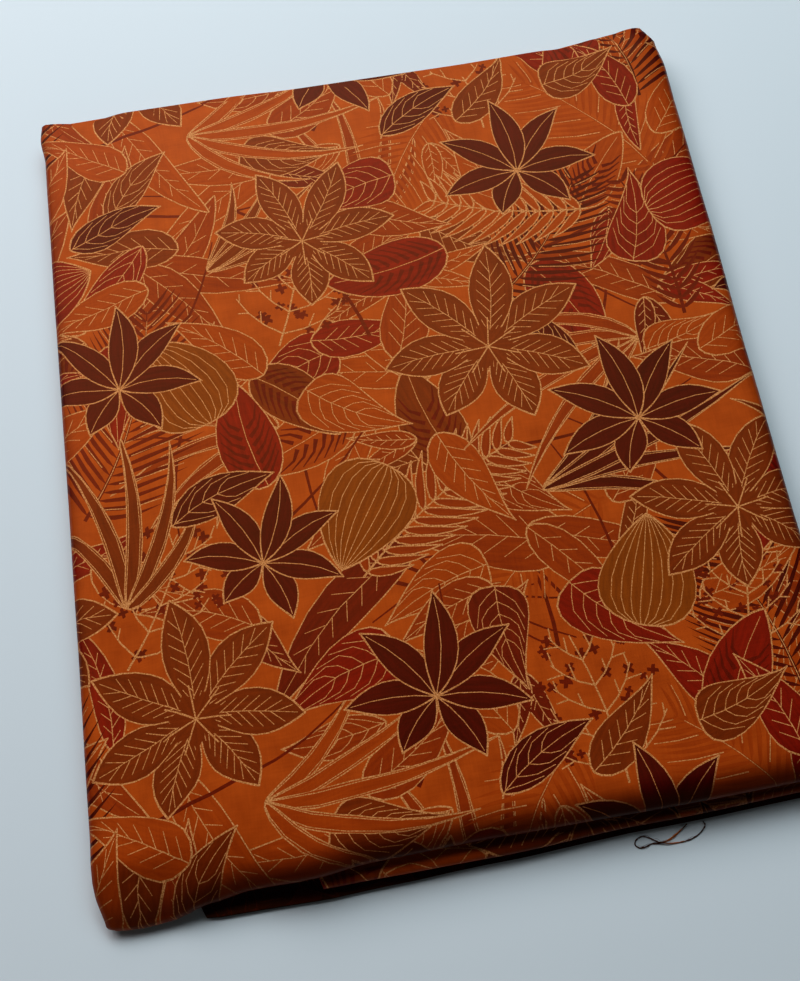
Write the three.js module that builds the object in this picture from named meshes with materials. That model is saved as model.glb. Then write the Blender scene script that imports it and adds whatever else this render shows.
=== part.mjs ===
// A folded length of printed silk, lying on a table. The cloth is folded in four across its
// width and then back and forth into five panels, and a loop of loose thread hangs out of its
// front edge. Millimetres, +Z up, +X to the right, +Y to the back. The origin is on the table
// under the middle of the bundle.
import * as THREE from 'three';
import { ParametricGeometry } from 'three/addons/geometries/ParametricGeometry.js';
import { mergeVertices } from 'three/addons/utils/BufferGeometryUtils.js';

const bundleWidth = 285;          // a quarter of the 1.14 m loom width
const layer = 2.1;                // one panel: four plies of silk and the air between them
const threadDiameter = 0.5;
const tableHeight = 0;

// Panels from the top one down: the air under each, and how far its two sides are set in.
const panels = [
  { name: 'top', air: 1.40, sideInset: 0.0 },
  { name: 'second', air: 1.20, sideInset: 2.4 },
  { name: 'middle', air: 1.25, sideInset: 3.6 },
  { name: 'fourth', air: 1.20, sideInset: 2.8 },
  { name: 'bottom', air: 0.00, sideInset: 3.4 },
];

// Front edge from left to right. Y of the top fold, of the inner fold below it and of the
// bottom panel's cut end; the share of the air left there; how far the top fold hangs down.
const frontRows = [
  { x: -143, topFold: -179.6, innerFold: -150, cutEnd: -160, air: 0.48, hang: 7.6 },
  { x: -130, topFold: -180.2, innerFold: -150, cutEnd: -160, air: 0.48, hang: 8.9 },
  { x: -118, topFold: -179.4, innerFold: -150, cutEnd: -160, air: 0.48, hang: 8.4 },
  { x: -113, topFold: -178.4, innerFold: -150, cutEnd: -163, air: 0.48, hang: 6.8 },
  { x: -109, topFold: -177.2, innerFold: -150, cutEnd: -180.5, air: 0.48, hang: 5.4 },
  { x: -104, topFold: -176.2, innerFold: -150, cutEnd: -181.0, air: 0.48, hang: 5.0 },
  { x: -88, topFold: -174.4, innerFold: -150, cutEnd: -181.0, air: 0.50, hang: 3.4 },
  { x: -72, topFold: -174.8, innerFold: -150, cutEnd: -181.2, air: 0.55, hang: 0.8 },
  { x: -66, topFold: -174.8, innerFold: -150, cutEnd: -181.3, air: 0.60, hang: 0.0 },
  { x: -64.6, topFold: -174.6, innerFold: -178, cutEnd: -181.3, air: 0.60, hang: 0.0 },
  { x: -42, topFold: -172.4, innerFold: -177.6, cutEnd: -181.2, air: 0.72, hang: 0.0 },
  { x: 0, topFold: -171.4, innerFold: -177.2, cutEnd: -179.3, air: 0.55, hang: 0.0 },
  { x: 60, topFold: -171.2, innerFold: -174.8, cutEnd: -176.2, air: 0.50, hang: 0.0 },
  { x: 143, topFold: -169.8, innerFold: -172.4, cutEnd: -173.8, air: 0.48, hang: 0.0 },
];

// Back edge from left to right. Y of the top panel's cut end and of the two folds below it,
// and the share of the air there, which is over one where the corner springs up.
const backRows = [
  { x: -143, cutEnd: 179.5, upperFold: 176.4, lowerFold: 175.5, air: 0.50 },
  { x: -121, cutEnd: 176.0, upperFold: 177.4, lowerFold: 177.0, air: 0.62 },
  { x: -102, cutEnd: 177.6, upperFold: 180.6, lowerFold: 178.8, air: 0.85 },
  { x: -59, cutEnd: 177.2, upperFold: 180.8, lowerFold: 177.6, air: 0.95 },
  { x: -20, cutEnd: 175.8, upperFold: 179.6, lowerFold: 179.2, air: 1.00 },
  { x: 50, cutEnd: 175.6, upperFold: 179.4, lowerFold: 178.0, air: 1.00 },
  { x: 90, cutEnd: 176.2, upperFold: 179.2, lowerFold: 179.4, air: 1.05 },
  { x: 99, cutEnd: 175.4, upperFold: 178.4, lowerFold: 179.0, air: 1.15 },
  { x: 118, cutEnd: 177.2, upperFold: 177.6, lowerFold: 177.6, air: 1.35 },
  { x: 143, cutEnd: 180.0, upperFold: 178.6, lowerFold: 176.4, air: 1.75 },
];

// Left and right edges of the top panel, from the front to the back.
const sideRows = [
  { y: -180, left: -142.0, right: 141.0 },
  { y: -165, left: -144.6, right: 141.2 },
  { y: -145, left: -143.9, right: 141.4 },
  { y: -67, left: -143.2, right: 141.6 },
  { y: 0, left: -142.8, right: 142.4 },
  { y: 80, left: -142.6, right: 143.8 },
  { y: 128, left: -142.3, right: 144.4 },
  { y: 158, left: -142.2, right: 144.6 },
  { y: 172, left: -143.8, right: 142.8 },
  { y: 181, left: -142.8, right: 138.6 },
];

const sideAir = 0.42;             // share of the air left at the two sides
const sideReach = 13;             // how far in from a side the stack is pressed together
const sideHang = 2.6;             // how far the top panel's side hangs past the panels below
const sideRounding = 1.6;         // over which a panel's thickness runs out at its side
const frontReach = 12;
const hangReach = 24;
const backReach = 40;
const leastAir = 0.34;
const slopeStep = 0.2;
const swell = { height: 0.5, acrossWave: 190, alongWave: 230 };   // slow unevenness of the top

// Columns across the bundle, as distances in from a side, and stations along a panel, as
// distances in from its front and back ends; the places between them are spread evenly.
const columnsIn = [0, 0.5, 1.6, 3.6, 7, 12.5];
const columnsBetween = 12;
const columnsAtSteps = [-115, -108, -66, -64.6];
const stationsIn = { front: [0, 4, 9, 16, 25], back: [0, 6, 16, 40] };
const stationsBetween = 1;
const foldSteps = 5;

const clamp = THREE.MathUtils.clamp;
const lerp = THREE.MathUtils.lerp;
const ease = (share) => THREE.MathUtils.smoothstep(share, 0, 1);

// Value of one column of a table at a place, eased between its rows.
function fromRows(rows, key, column, place) {
  const last = rows.length - 1;
  const held = clamp(place, rows[0][key], rows[last][key]);
  const i = Math.max(1, rows.findIndex((row) => row[key] >= held));
  const share = (held - rows[i - 1][key]) / (rows[i][key] - rows[i - 1][key]);
  return lerp(rows[i - 1][column], rows[i][column], ease(share));
}

const front = (x, column) => fromRows(frontRows, 'x', column, x);
const back = (x, column) => fromRows(backRows, 'x', column, x);
const side = (y, column) => fromRows(sideRows, 'y', column, y);

// 1 at an edge, falling to 0 at the reach, round like the shoulder of a soft stack.
function shoulder(distance, reach) {
  const share = clamp(1 - distance / reach, 0, 1);
  return 1 - Math.sqrt(1 - share * share);
}

// Height of a panel's middle surface above the table.
function panelHeight(index, x, y) {
  const fromSide = Math.min(x - side(y, 'left'), side(y, 'right') - x);
  const fromFront = y - front(x, 'topFold');
  const fromBack = back(x, 'cutEnd') - y;
  const pressed = lerp(1, sideAir, shoulder(fromSide, sideReach))
    * lerp(1, front(x, 'air'), shoulder(fromFront, frontReach))
    * lerp(1, back(x, 'air'), ease(clamp(1 - fromBack / backReach, 0, 1)));
  const air = Math.max(pressed, leastAir);
  let height = tableHeight + layer / 2;
  for (let i = panels.length - 2; i >= index; i--) height += layer + panels[i].air * air;
  if (index > 1) return height;
  const wave = Math.sin((2 * Math.PI * x) / swell.acrossWave) * Math.cos((2 * Math.PI * y) / swell.alongWave);
  const hang = front(x, 'hang') * (1 - ease(clamp(fromFront / hangReach, 0, 1)));
  const past = index === 0 ? clamp(1 - fromSide / panels[1].sideInset, 0, 1) : 0;
  const calm = clamp(fromSide / sideReach, 0, 1) * clamp(fromFront / hangReach, 0, 1);
  return height - hang - sideHang * past * past + swell.height * wave * calm;
}

// Front and back ends of each panel at a place across the bundle.
function panelEnds(index, x) {
  const frontEnd = ['topFold', 'topFold', 'innerFold', 'innerFold', 'cutEnd'][index];
  const backEnd = ['cutEnd', 'upperFold', 'upperFold', 'lowerFold', 'lowerFold'][index];
  return { front: front(x, frontEnd), back: back(x, backEnd) };
}

// Places of the stations along a panel, from its back end to its front end. A fold's round
// stands between the ends of its two panels, so each folded end stops short by its radius.
function stationsAlong(index, x) {
  const ends = panelEnds(index, x);
  const foldBack = index === 0 ? 0 : layer;
  const foldFront = index === panels.length - 1 ? 0 : layer;
  const from = ends.back - foldBack;
  const to = ends.front + foldFront;
  const places = stationsIn.back.map((d) => from - d);
  const lastBack = places[places.length - 1];
  const firstFront = to + stationsIn.front[stationsIn.front.length - 1];
  for (let i = 1; i <= stationsBetween; i++) {
    places.push(lerp(lastBack, firstFront, i / (stationsBetween + 1)));
  }
  [...stationsIn.front].reverse().forEach((d) => places.push(to + d));
  return index % 2 === 0 ? places : places.reverse();
}

// A point of a panel's middle surface, with how steeply the surface falls to the side there.
// across runs from -1 at the left side to 1 at the right side.
function panelPoint(index, across, y) {
  const { sideInset } = panels[index];
  const x = lerp(side(y, 'left') + sideInset, side(y, 'right') - sideInset, (across + 1) / 2);
  const rise = panelHeight(index, x + slopeStep, y) - panelHeight(index, x - slopeStep, y);
  return { place: new THREE.Vector3(x, y, panelHeight(index, x, y)), slope: rise / (2 * slopeStep) };
}

// Middle line of the whole folded stack at one column: panel by panel, with the half turn
// of each fold between the end of one panel and the start of the next.
function middleLine(across) {
  const x0 = (across * bundleWidth) / 2;
  const line = [];
  panels.forEach((panel, index) => {
    stationsAlong(index, x0).forEach((y) => line.push(panelPoint(index, across, y)));
    if (index === panels.length - 1) return;
    const start = line[line.length - 1];
    const end = panelPoint(index + 1, across, stationsAlong(index + 1, x0)[0]);
    const outward = index % 2 === 0 ? -1 : 1;
    const radius = Math.min((start.place.z - end.place.z) / 2, layer);
    for (let i = 1; i < foldSteps; i++) {
      const turn = (Math.PI * i) / foldSteps;
      const place = start.place.clone().lerp(end.place, (1 - Math.cos(turn)) / 2);
      place.y += outward * radius * Math.sin(turn);
      line.push({ place, slope: lerp(start.slope, end.slope, i / foldSteps) });
    }
  });
  return line;
}

// The two faces of the layer at one column, half a thickness to either side of its middle
// line, joined at the two cut ends into one closed loop.
function sectionLoop(across, thickness) {
  const line = middleLine(across);
  const upper = [];
  const under = [];
  line.forEach(({ place, slope }, i) => {
    const before = line[Math.max(i - 1, 0)].place;
    const after = line[Math.min(i + 1, line.length - 1)].place;
    const along = new THREE.Vector2(after.y - before.y, after.z - before.z).normalize();
    const half = new THREE.Vector3(-slope * along.x, -along.y, along.x).setLength(thickness / 2);
    upper.push(place.clone().sub(half));
    under.push(place.clone().add(half));
  });
  return [...upper, ...under.reverse()];
}

// Columns across the bundle as shares from -1 to 1, close together at its two sides.
function columnShares() {
  const half = bundleWidth / 2;
  const places = columnsIn.map((d) => d - half);
  const inner = columnsIn[columnsIn.length - 1];
  for (let i = 1; i <= columnsBetween; i++) {
    places.push(lerp(inner - half, half - inner, i / (columnsBetween + 1)));
  }
  [...columnsIn].reverse().forEach((d) => places.push(half - d));
  places.push(...columnsAtSteps);
  return places.sort((a, b) => a - b).map((x) => x / half);
}

// Merges the points that meet and drops the triangles that have closed to nothing.
function closedUp(geometry) {
  geometry.deleteAttribute('normal');
  geometry.deleteAttribute('uv');
  const merged = mergeVertices(geometry, 1e-4);
  const index = merged.getIndex().array;
  const kept = [];
  for (let i = 0; i < index.length; i += 3) {
    const [a, b, c] = [index[i], index[i + 1], index[i + 2]];
    if (a !== b && b !== c && c !== a) kept.push(a, b, c);
  }
  merged.setIndex(kept);
  merged.computeVertexNormals();
  return merged;
}

// The folded cloth is one skin wrapped round the section loops, which close to the middle
// line at the two sides.
function foldedCloth() {
  const shares = columnShares();
  const loops = shares.map((across) => {
    const fromSide = ((1 - Math.abs(across)) * bundleWidth) / 2;
    const run = clamp(fromSide / sideRounding, 0, 1);
    return sectionLoop(across, layer * Math.sqrt(run * (2 - run)));
  });
  const around = loops[0].length;
  const skin = (u, v, target) => {
    const loop = loops[Math.round(v * (loops.length - 1))];
    target.copy(loop[Math.round(u * around) % around]);
  };
  return closedUp(new ParametricGeometry(skin, around, loops.length - 1));
}

// Route of the loose thread: out of the front edge, a long limp loop on the table with a
// small one at its far end, and back in.
const threadRoute = [
  [72.6, -176.7, 1.00], [70.6, -178.0, 0.62], [67.5, -179.8, 0.26], [64.6, -181.2, 0.26],
  [61.4, -181.7, 0.26], [58.4, -181.5, 0.26], [55.6, -182.2, 0.26], [53.3, -182.0, 0.26],
  [52.2, -180.6, 0.26], [53.2, -179.0, 0.26], [55.4, -178.3, 0.26], [57.5, -179.0, 0.30],
  [59.3, -180.3, 0.62], [61.2, -181.5, 0.86], [63.8, -182.3, 0.74], [66.6, -182.6, 0.36],
  [69.8, -182.6, 0.26], [73.0, -182.2, 0.26], [76.0, -181.0, 0.26], [78.2, -179.4, 0.26],
  [79.2, -178.0, 0.50], [78.6, -176.8, 0.90],
];
const threadSteps = 72;

function looseThread() {
  const points = threadRoute.map(([x, y, z]) => new THREE.Vector3(x, y, tableHeight + z));
  const path = new THREE.CatmullRomCurve3(points);
  const section = new THREE.Shape().absarc(0, 0, threadDiameter / 2, 0, 2 * Math.PI);
  return new THREE.ExtrudeGeometry(section, { extrudePath: path, steps: threadSteps, curveSegments: 4 });
}

function named(name, geometry, colour, roughness) {
  const material = new THREE.MeshStandardMaterial({ color: colour, roughness, metalness: 0 });
  const mesh = new THREE.Mesh(geometry, material);
  mesh.name = name;
  return mesh;
}

const group = new THREE.Group();
group.add(named('folded_cloth', foldedCloth(), 0xb0541c, 0.55));
group.add(named('loose_thread', looseThread(), 0x4a2412, 0.85));
export default group;
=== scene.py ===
import math
import bpy
import bmesh
import numpy as np
from mathutils import Matrix, Vector
from mathutils.geometry import delaunay_2d_cdt


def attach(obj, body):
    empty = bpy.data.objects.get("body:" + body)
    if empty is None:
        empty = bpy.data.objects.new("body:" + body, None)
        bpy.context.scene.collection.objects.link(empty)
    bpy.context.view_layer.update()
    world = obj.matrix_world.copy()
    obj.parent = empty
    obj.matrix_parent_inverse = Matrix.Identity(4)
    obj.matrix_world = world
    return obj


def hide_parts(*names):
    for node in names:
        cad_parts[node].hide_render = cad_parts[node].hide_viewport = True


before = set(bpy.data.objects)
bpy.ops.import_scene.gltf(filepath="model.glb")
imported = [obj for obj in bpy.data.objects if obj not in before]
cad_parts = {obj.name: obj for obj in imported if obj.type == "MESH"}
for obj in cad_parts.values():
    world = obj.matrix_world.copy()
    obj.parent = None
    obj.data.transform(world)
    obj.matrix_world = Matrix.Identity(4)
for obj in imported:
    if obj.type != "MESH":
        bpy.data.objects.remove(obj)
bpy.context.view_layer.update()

mm = 0.001
scene = bpy.context.scene
scene.view_settings.view_transform = "Standard"
scene.view_settings.look = "Medium High Contrast"   # as a phone camera draws it
print("frame loaded")


# camera: at the front left of the bundle, looking down on it
camera = {"place": (-0.0322, -0.2592, 0.5251), "right": (0.986, -0.162, -0.030),
          "up": (0.160, 0.899, 0.408), "lens": 51.38}


def makeCamera():
    right = Vector(camera["right"]).normalized()
    up = Vector(camera["up"])
    up = (up - right * up.dot(right)).normalized()
    turn = Matrix((right, up, right.cross(up))).transposed()
    data = bpy.data.cameras.new("camera")
    data.sensor_width = 36
    data.sensor_fit = "VERTICAL"
    data.sensor_height = 36
    data.lens = camera["lens"]
    data.clip_start = 0.01
    obj = bpy.data.objects.new("camera", data)
    scene.collection.objects.link(obj)
    obj.matrix_world = Matrix.Translation(camera["place"]) @ turn.to_4x4()
    scene.camera = obj


makeCamera()
print("camera set")


# small helpers for materials
def colour(code):
    channels = [int(code[i:i + 2], 16) / 255 for i in (1, 3, 5)]
    return [c / 12.92 if c <= 0.04045 else ((c + 0.055) / 1.055) ** 2.4 for c in channels] + [1]


def addNode(tree, kind, inputs=None, **settings):
    node = tree.nodes.new("ShaderNode" + kind)
    for key, value in settings.items():
        setattr(node, key, value)
    for key, value in (inputs or {}).items():
        if isinstance(value, bpy.types.NodeSocket):
            tree.links.new(value, node.inputs[key])
        else:
            node.inputs[key].default_value = value
    return node


def newMaterial(name):
    material = bpy.data.materials.new(name)
    material.use_nodes = True
    tree = material.node_tree
    tree.nodes.clear()
    shader = addNode(tree, "BsdfPrincipled")
    addNode(tree, "OutputMaterial", {"Surface": shader.outputs[0]})
    return material, tree, shader


# the folded cloth's form, in millimetres, as its solid has it
def table(names, rows):
    return dict(zip(names.split(), np.array(rows, float).T))


cloth = {"bundleWidth": 285.0, "layer": 2.1, "plyGap": 0.63, "sideStart": 1.0}
panels = table("air sideInset", [(1.40, 0.0), (1.20, 2.4), (1.25, 3.6), (1.20, 2.8), (0.0, 3.4)])
frontRows = table("x topFold innerFold cutEnd air hang", [
    (-143, -179.6, -150, -160, .48, 7.6), (-130, -180.2, -150, -160, .48, 8.9),
    (-118, -179.4, -150, -160, .48, 8.4), (-113, -178.4, -150, -163, .48, 6.8),
    (-109, -177.2, -150, -180.5, .48, 5.4), (-104, -176.2, -150, -181.0, .48, 5.0),
    (-88, -174.4, -150, -181.0, .50, 3.4), (-72, -174.8, -150, -181.2, .55, 0.8),
    (-66, -174.8, -150, -181.3, .60, 0), (-64.6, -174.6, -178, -181.3, .60, 0),
    (-42, -172.4, -177.6, -180.3, .72, 0), (0, -171.4, -177.2, -178.7, .55, 0),
    (60, -171.2, -174.8, -176.2, .50, 0), (143, -169.8, -172.4, -173.8, .48, 0)])
backRows = table("x cutEnd upperFold lowerFold air", [
    (-143, 179.5, 176.4, 175.5, .50), (-121, 176.0, 177.4, 177.0, .62),
    (-102, 177.6, 180.6, 178.8, .85), (-59, 177.2, 180.8, 177.6, .95),
    (-20, 175.8, 179.6, 179.2, 1.0), (50, 175.6, 179.4, 178.0, 1.0),
    (90, 176.2, 179.2, 179.4, 1.05), (99, 175.4, 178.4, 179.0, 1.15),
    (118, 177.2, 177.6, 177.6, 1.35), (143, 180.0, 178.6, 176.4, 1.75)])
sideRows = table("y left right", [
    (-180, -142.0, 141.0), (-165, -144.6, 141.2), (-145, -143.9, 141.4), (-67, -143.2, 141.6),
    (0, -142.8, 142.4), (80, -142.6, 143.8), (128, -142.3, 144.4), (158, -142.2, 144.6),
    (172, -143.8, 142.8), (181, -142.8, 138.6)])
press = {"sideAir": 0.42, "sideReach": 13, "sideHang": 2.6, "frontReach": 12, "hangReach": 24,
         "backReach": 40, "leastAir": 0.34, "rollBefore": 9, "rollAfter": 3.5, "rollTilt": 0.6,
         "rollShade": 0.8, "shadeReach": 14, "sideShade": 0.36, "sideShadeReach": 7,
         "innerShade": 0.05, "innerShadeRight": 0.7}
swell = {"height": 0.5, "acrossWave": 190, "alongWave": 230}


def lerp(a, b, share):
    return a + (b - a) * share


def ease(share):
    share = np.clip(share, 0, 1)
    return share * share * (3 - 2 * share)


def fromRows(rows, key, column, place):
    places = rows[key]
    held = np.clip(place, places[0], places[-1])
    i = np.clip(np.searchsorted(places, held), 1, len(places) - 1)
    share = (held - places[i - 1]) / (places[i] - places[i - 1])
    return lerp(rows[column][i - 1], rows[column][i], ease(share))


def front(x, column):
    return fromRows(frontRows, "x", column, x)


def back(x, column):
    return fromRows(backRows, "x", column, x)


def side(y, column):
    return fromRows(sideRows, "y", column, y)


def shoulder(distance, reach):
    share = np.clip(1 - distance / reach, 0, 1)
    return 1 - np.sqrt(1 - share * share)


def panelHeight(index, x, y):
    fromSide = np.minimum(x - side(y, "left"), side(y, "right") - x)
    fromFront = y - front(x, "topFold")
    fromBack = back(x, "cutEnd") - y
    pressed = (lerp(1, press["sideAir"], shoulder(fromSide, press["sideReach"]))
               * lerp(1, front(x, "air"), shoulder(fromFront, press["frontReach"]))
               * lerp(1, back(x, "air"), ease(1 - fromBack / press["backReach"])))
    air = np.maximum(pressed, press["leastAir"])
    height = cloth["layer"] / 2
    for i in range(3, index - 1, -1):
        height = height + cloth["layer"] + panels["air"][i] * air
    if index > 1:
        return height + 0 * x
    wave = np.sin(2 * math.pi * x / swell["acrossWave"]) * np.cos(2 * math.pi * y / swell["alongWave"])
    hang = front(x, "hang") * (1 - ease(fromFront / press["hangReach"]))
    calm = np.clip(fromSide / press["sideReach"], 0, 1) * np.clip(fromFront / press["hangReach"], 0, 1)
    past = np.clip(1 - fromSide / panels["sideInset"][1], 0, 1) if index == 0 else 0
    return height - hang - press["sideHang"] * past * past + swell["height"] * wave * calm


def panelEnds(index, x):
    frontEnd = ("topFold", "topFold", "innerFold", "innerFold", "cutEnd")[index]
    backEnd = ("cutEnd", "upperFold", "upperFold", "lowerFold", "lowerFold")[index]
    layer = cloth["layer"]
    ends = (back(x, backEnd) - (layer if index else 0), front(x, frontEnd) + (layer if index < 4 else 0))
    return ends if index % 2 == 0 else ends[::-1]


def panelPoint(index, across, y):
    inset = panels["sideInset"][index]
    x = lerp(side(y, "left") + inset, side(y, "right") - inset, across)
    return np.stack([x, y, panelHeight(index, x, y)], -1)


def middlePoint(stretch, across, share):
    # stretches 0, 2, 4, 6, 8 are the panels from the top down; 1, 3, 5, 7 the folds between them
    index = stretch // 2
    x = (across - 0.5) * cloth["bundleWidth"]
    start, end = panelEnds(index, x)
    if stretch % 2 == 0:
        return panelPoint(index, across, lerp(start, end, share))
    a = panelPoint(index, across, end)
    b = panelPoint(index + 1, across, panelEnds(index + 1, x)[0])
    turn = math.pi * share
    place = a + (b - a) * ((1 - np.cos(turn)) / 2)[:, None]
    radius = np.minimum((a[:, 2] - b[:, 2]) / 2, cloth["layer"])
    place[:, 1] += (-1 if index % 2 == 0 else 1) * radius * np.sin(turn)
    return place


def stretchLengths():
    middle, lengths = np.array([0.5]), []
    for stretch in range(9):
        walk = np.array([middlePoint(stretch, middle, np.array([t]))[0] for t in np.linspace(0, 1, 33)])
        lengths.append(np.linalg.norm(np.diff(walk, axis=0), axis=1).sum())
    return np.array(lengths)


# where each stretch starts, along the cloth
alongStops = np.concatenate([[0], np.cumsum(stretchLengths())])
clothLength = alongStops[-1]


def middleSurface(across, along):
    stretch = np.clip(np.searchsorted(alongStops, along, "right") - 1, 0, 8)
    share = (along - alongStops[stretch]) / np.diff(alongStops)[stretch]
    place = np.zeros((len(along), 3))
    for k in range(9):
        here = stretch == k
        if here.any():
            place[here] = middlePoint(k, across[here], share[here])
    return place


# The cloth is folded in four across: inner ply, fold, inner ply, fold, top ply, fold, bottom ply.
plyRun = cloth["bundleWidth"] - 2 * cloth["sideStart"]
smallTurn, bigTurn = 0.5 * math.pi * cloth["plyGap"], 1.5 * math.pi * cloth["plyGap"]
runs = [plyRun, smallTurn, plyRun, smallTurn, plyRun, bigTurn, plyRun]
acrossStops = np.concatenate([[0], np.cumsum(runs)])
clothWidth = acrossStops[-1]


def acrossPlace(u):
    # place across the bundle, height within the layer and the way the printed face looks
    gap, near, far = cloth["plyGap"], cloth["sideStart"], cloth["bundleWidth"] - cloth["sideStart"]
    run = np.clip(np.searchsorted(acrossStops, u, "right") - 1, 0, 6)
    part = u - acrossStops[run]
    straight = {0: (near, 1, -.5), 2: (far, -1, .5), 4: (near, 1, 1.5), 6: (far, -1, -1.5)}
    turns = {1: (far, 1, 0, .5, -1), 3: (near, -1, 1, .5, -1), 5: (far, 1, 0, 1.5, 1)}
    c, n, lookAcross, lookUp = np.zeros((4, len(u)))
    for k, (start, way, height) in straight.items():
        here = run == k
        c[here], n[here], lookUp[here] = start + way * part[here], height * gap, way
    for k, (centre, way, middle, radius, first) in turns.items():
        here = run == k
        angle = part[here] / (radius * gap)
        c[here] = centre + way * radius * gap * np.sin(angle)
        n[here] = middle * gap + first * radius * gap * np.cos(angle)
        lookAcross[here], lookUp[here] = first * np.sin(angle), way * np.cos(angle)
    return c, n, lookAcross, lookUp


def unit(vectors):
    return vectors / np.linalg.norm(vectors, axis=1)[:, None]


def onCloth(u, v):
    # place in space, in millimetres, and outward normal for a place on the flat cloth
    c, n, lookAcross, lookUp = acrossPlace(u)
    c, v = c / cloth["bundleWidth"], np.clip(v, 0, clothLength)
    alongStep, acrossStep = 0.5, 0.3 / cloth["bundleWidth"]
    along = (middleSurface(c, np.clip(v + alongStep, 0, clothLength))
             - middleSurface(c, np.clip(v - alongStep, 0, clothLength)))
    across = unit(middleSurface(np.clip(c + acrossStep, 0, 1), v)
                  - middleSurface(np.clip(c - acrossStep, 0, 1), v))
    up = unit(np.cross(along, across))
    place = middleSurface(c, v) + up * n[:, None]
    # the silk starts to roll over a little before its front fold
    # the normals tilt towards the front over the last few millimetres before the front fold and a little
    # past it, as if the silk rolled over there
    before, after = press["rollBefore"], press["rollAfter"]
    roll = np.clip(1 - np.maximum((alongStops[1] - v) / before, (v - alongStops[1]) / after), 0, 1) ** 2
    up = unit(up - press["rollTilt"] * roll[:, None] * [0, 1, 0])
    return place, unit(across * lookAcross[:, None] + up * lookUp[:, None])


def paintedShade(v, places):
    # painted shade, from 0 to 1: the front folds below the top one are painted dark, and the top ply darker
    # where it rolls over at its front and sides; 0 for what lies open
    x, y, z = places.T
    depth = panelHeight(0, x, y) + 1.5 * cloth["plyGap"] - z
    behind = y - front(x, "topFold")
    edge = np.minimum(x - side(y, "left"), side(y, "right") - x)
    # the painted shade of the front roll is weaker at the left corner, which lies open nearly to its edge
    rollShade = press["rollShade"] * lerp(0.4, 1, ease((x + 128) / 30))
    edgeShade = np.maximum(rollShade * ease(1 - behind / press["shadeReach"]),
                        press["sideShade"] * ease(1 - edge / press["sideShadeReach"]))
    # the inner fold's painted shade is weakest at its left end, where it juts out and catches the light, and
    # grows to the right
    inner = (v > alongStops[5] - 14) & (v < alongStops[6] + 4)
    innerShade = lerp(press["innerShade"], press["innerShadeRight"], ease((x + 50) / 150))
    shadeShare = np.where(inner, innerShade, 1)
    return np.maximum(edgeShade * (depth < 3), shadeShare * ease(1 - behind / 4) * ease((depth - 0.2) / 3))


print("flat cloth", round(clothWidth, 1), "x", round(clothLength, 1), "mm")


# the print: ordinary tropical leaves from a short chart, in millimetres
silkPrint = {"tile": (285.0, 300.0), "rim": 0.48, "vein": 0.42, "fine": 0.3, "seed": 5}
leafForms = {"long": (1.0, 1.15), "lobe": (1.25, 1.05), "round": (.42, .85), "heart": (.38, 1.35),
             "oval": (.5, .8), "spear": (.62, 1.35), "strap": (.5, 1.1), "twist": (.75, 1.2)}
strokes = []   # ink, outline, leaf's own place and angle, and whether it is a fine line


def put(ink, outline, local=(0, 0, 0), fine=False):
    strokes.append((ink, np.asarray(outline), local, fine))


def midrib(x, y, angle, length, bend):
    # a line that turns by bend over its length: share runs along it, sideways is in mm
    start = math.radians(angle) - bend / 2
    bend = bend if abs(bend) > 1e-3 else 1e-3
    radius = length / bend

    def place(share, sideways=0):
        heading = start + bend * np.asarray(share, float)
        return np.stack([x + radius * (np.sin(heading) - math.sin(start)) - sideways * np.sin(heading),
                         y - radius * (np.cos(heading) - math.cos(start)) + sideways * np.cos(heading)], -1)
    return place


def drawLine(ink, points, thick, thin, local=(0, 0, 0), fine=True):
    way = np.gradient(points, axis=0)
    half = np.linspace(thick, thin, len(points))[:, None] / 2
    across = np.stack([-way[:, 1], way[:, 0]], 1) / np.linalg.norm(way, axis=1)[:, None] * half
    put(ink, np.vstack([points + across, (points - across)[::-1]]), local, fine)


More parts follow.
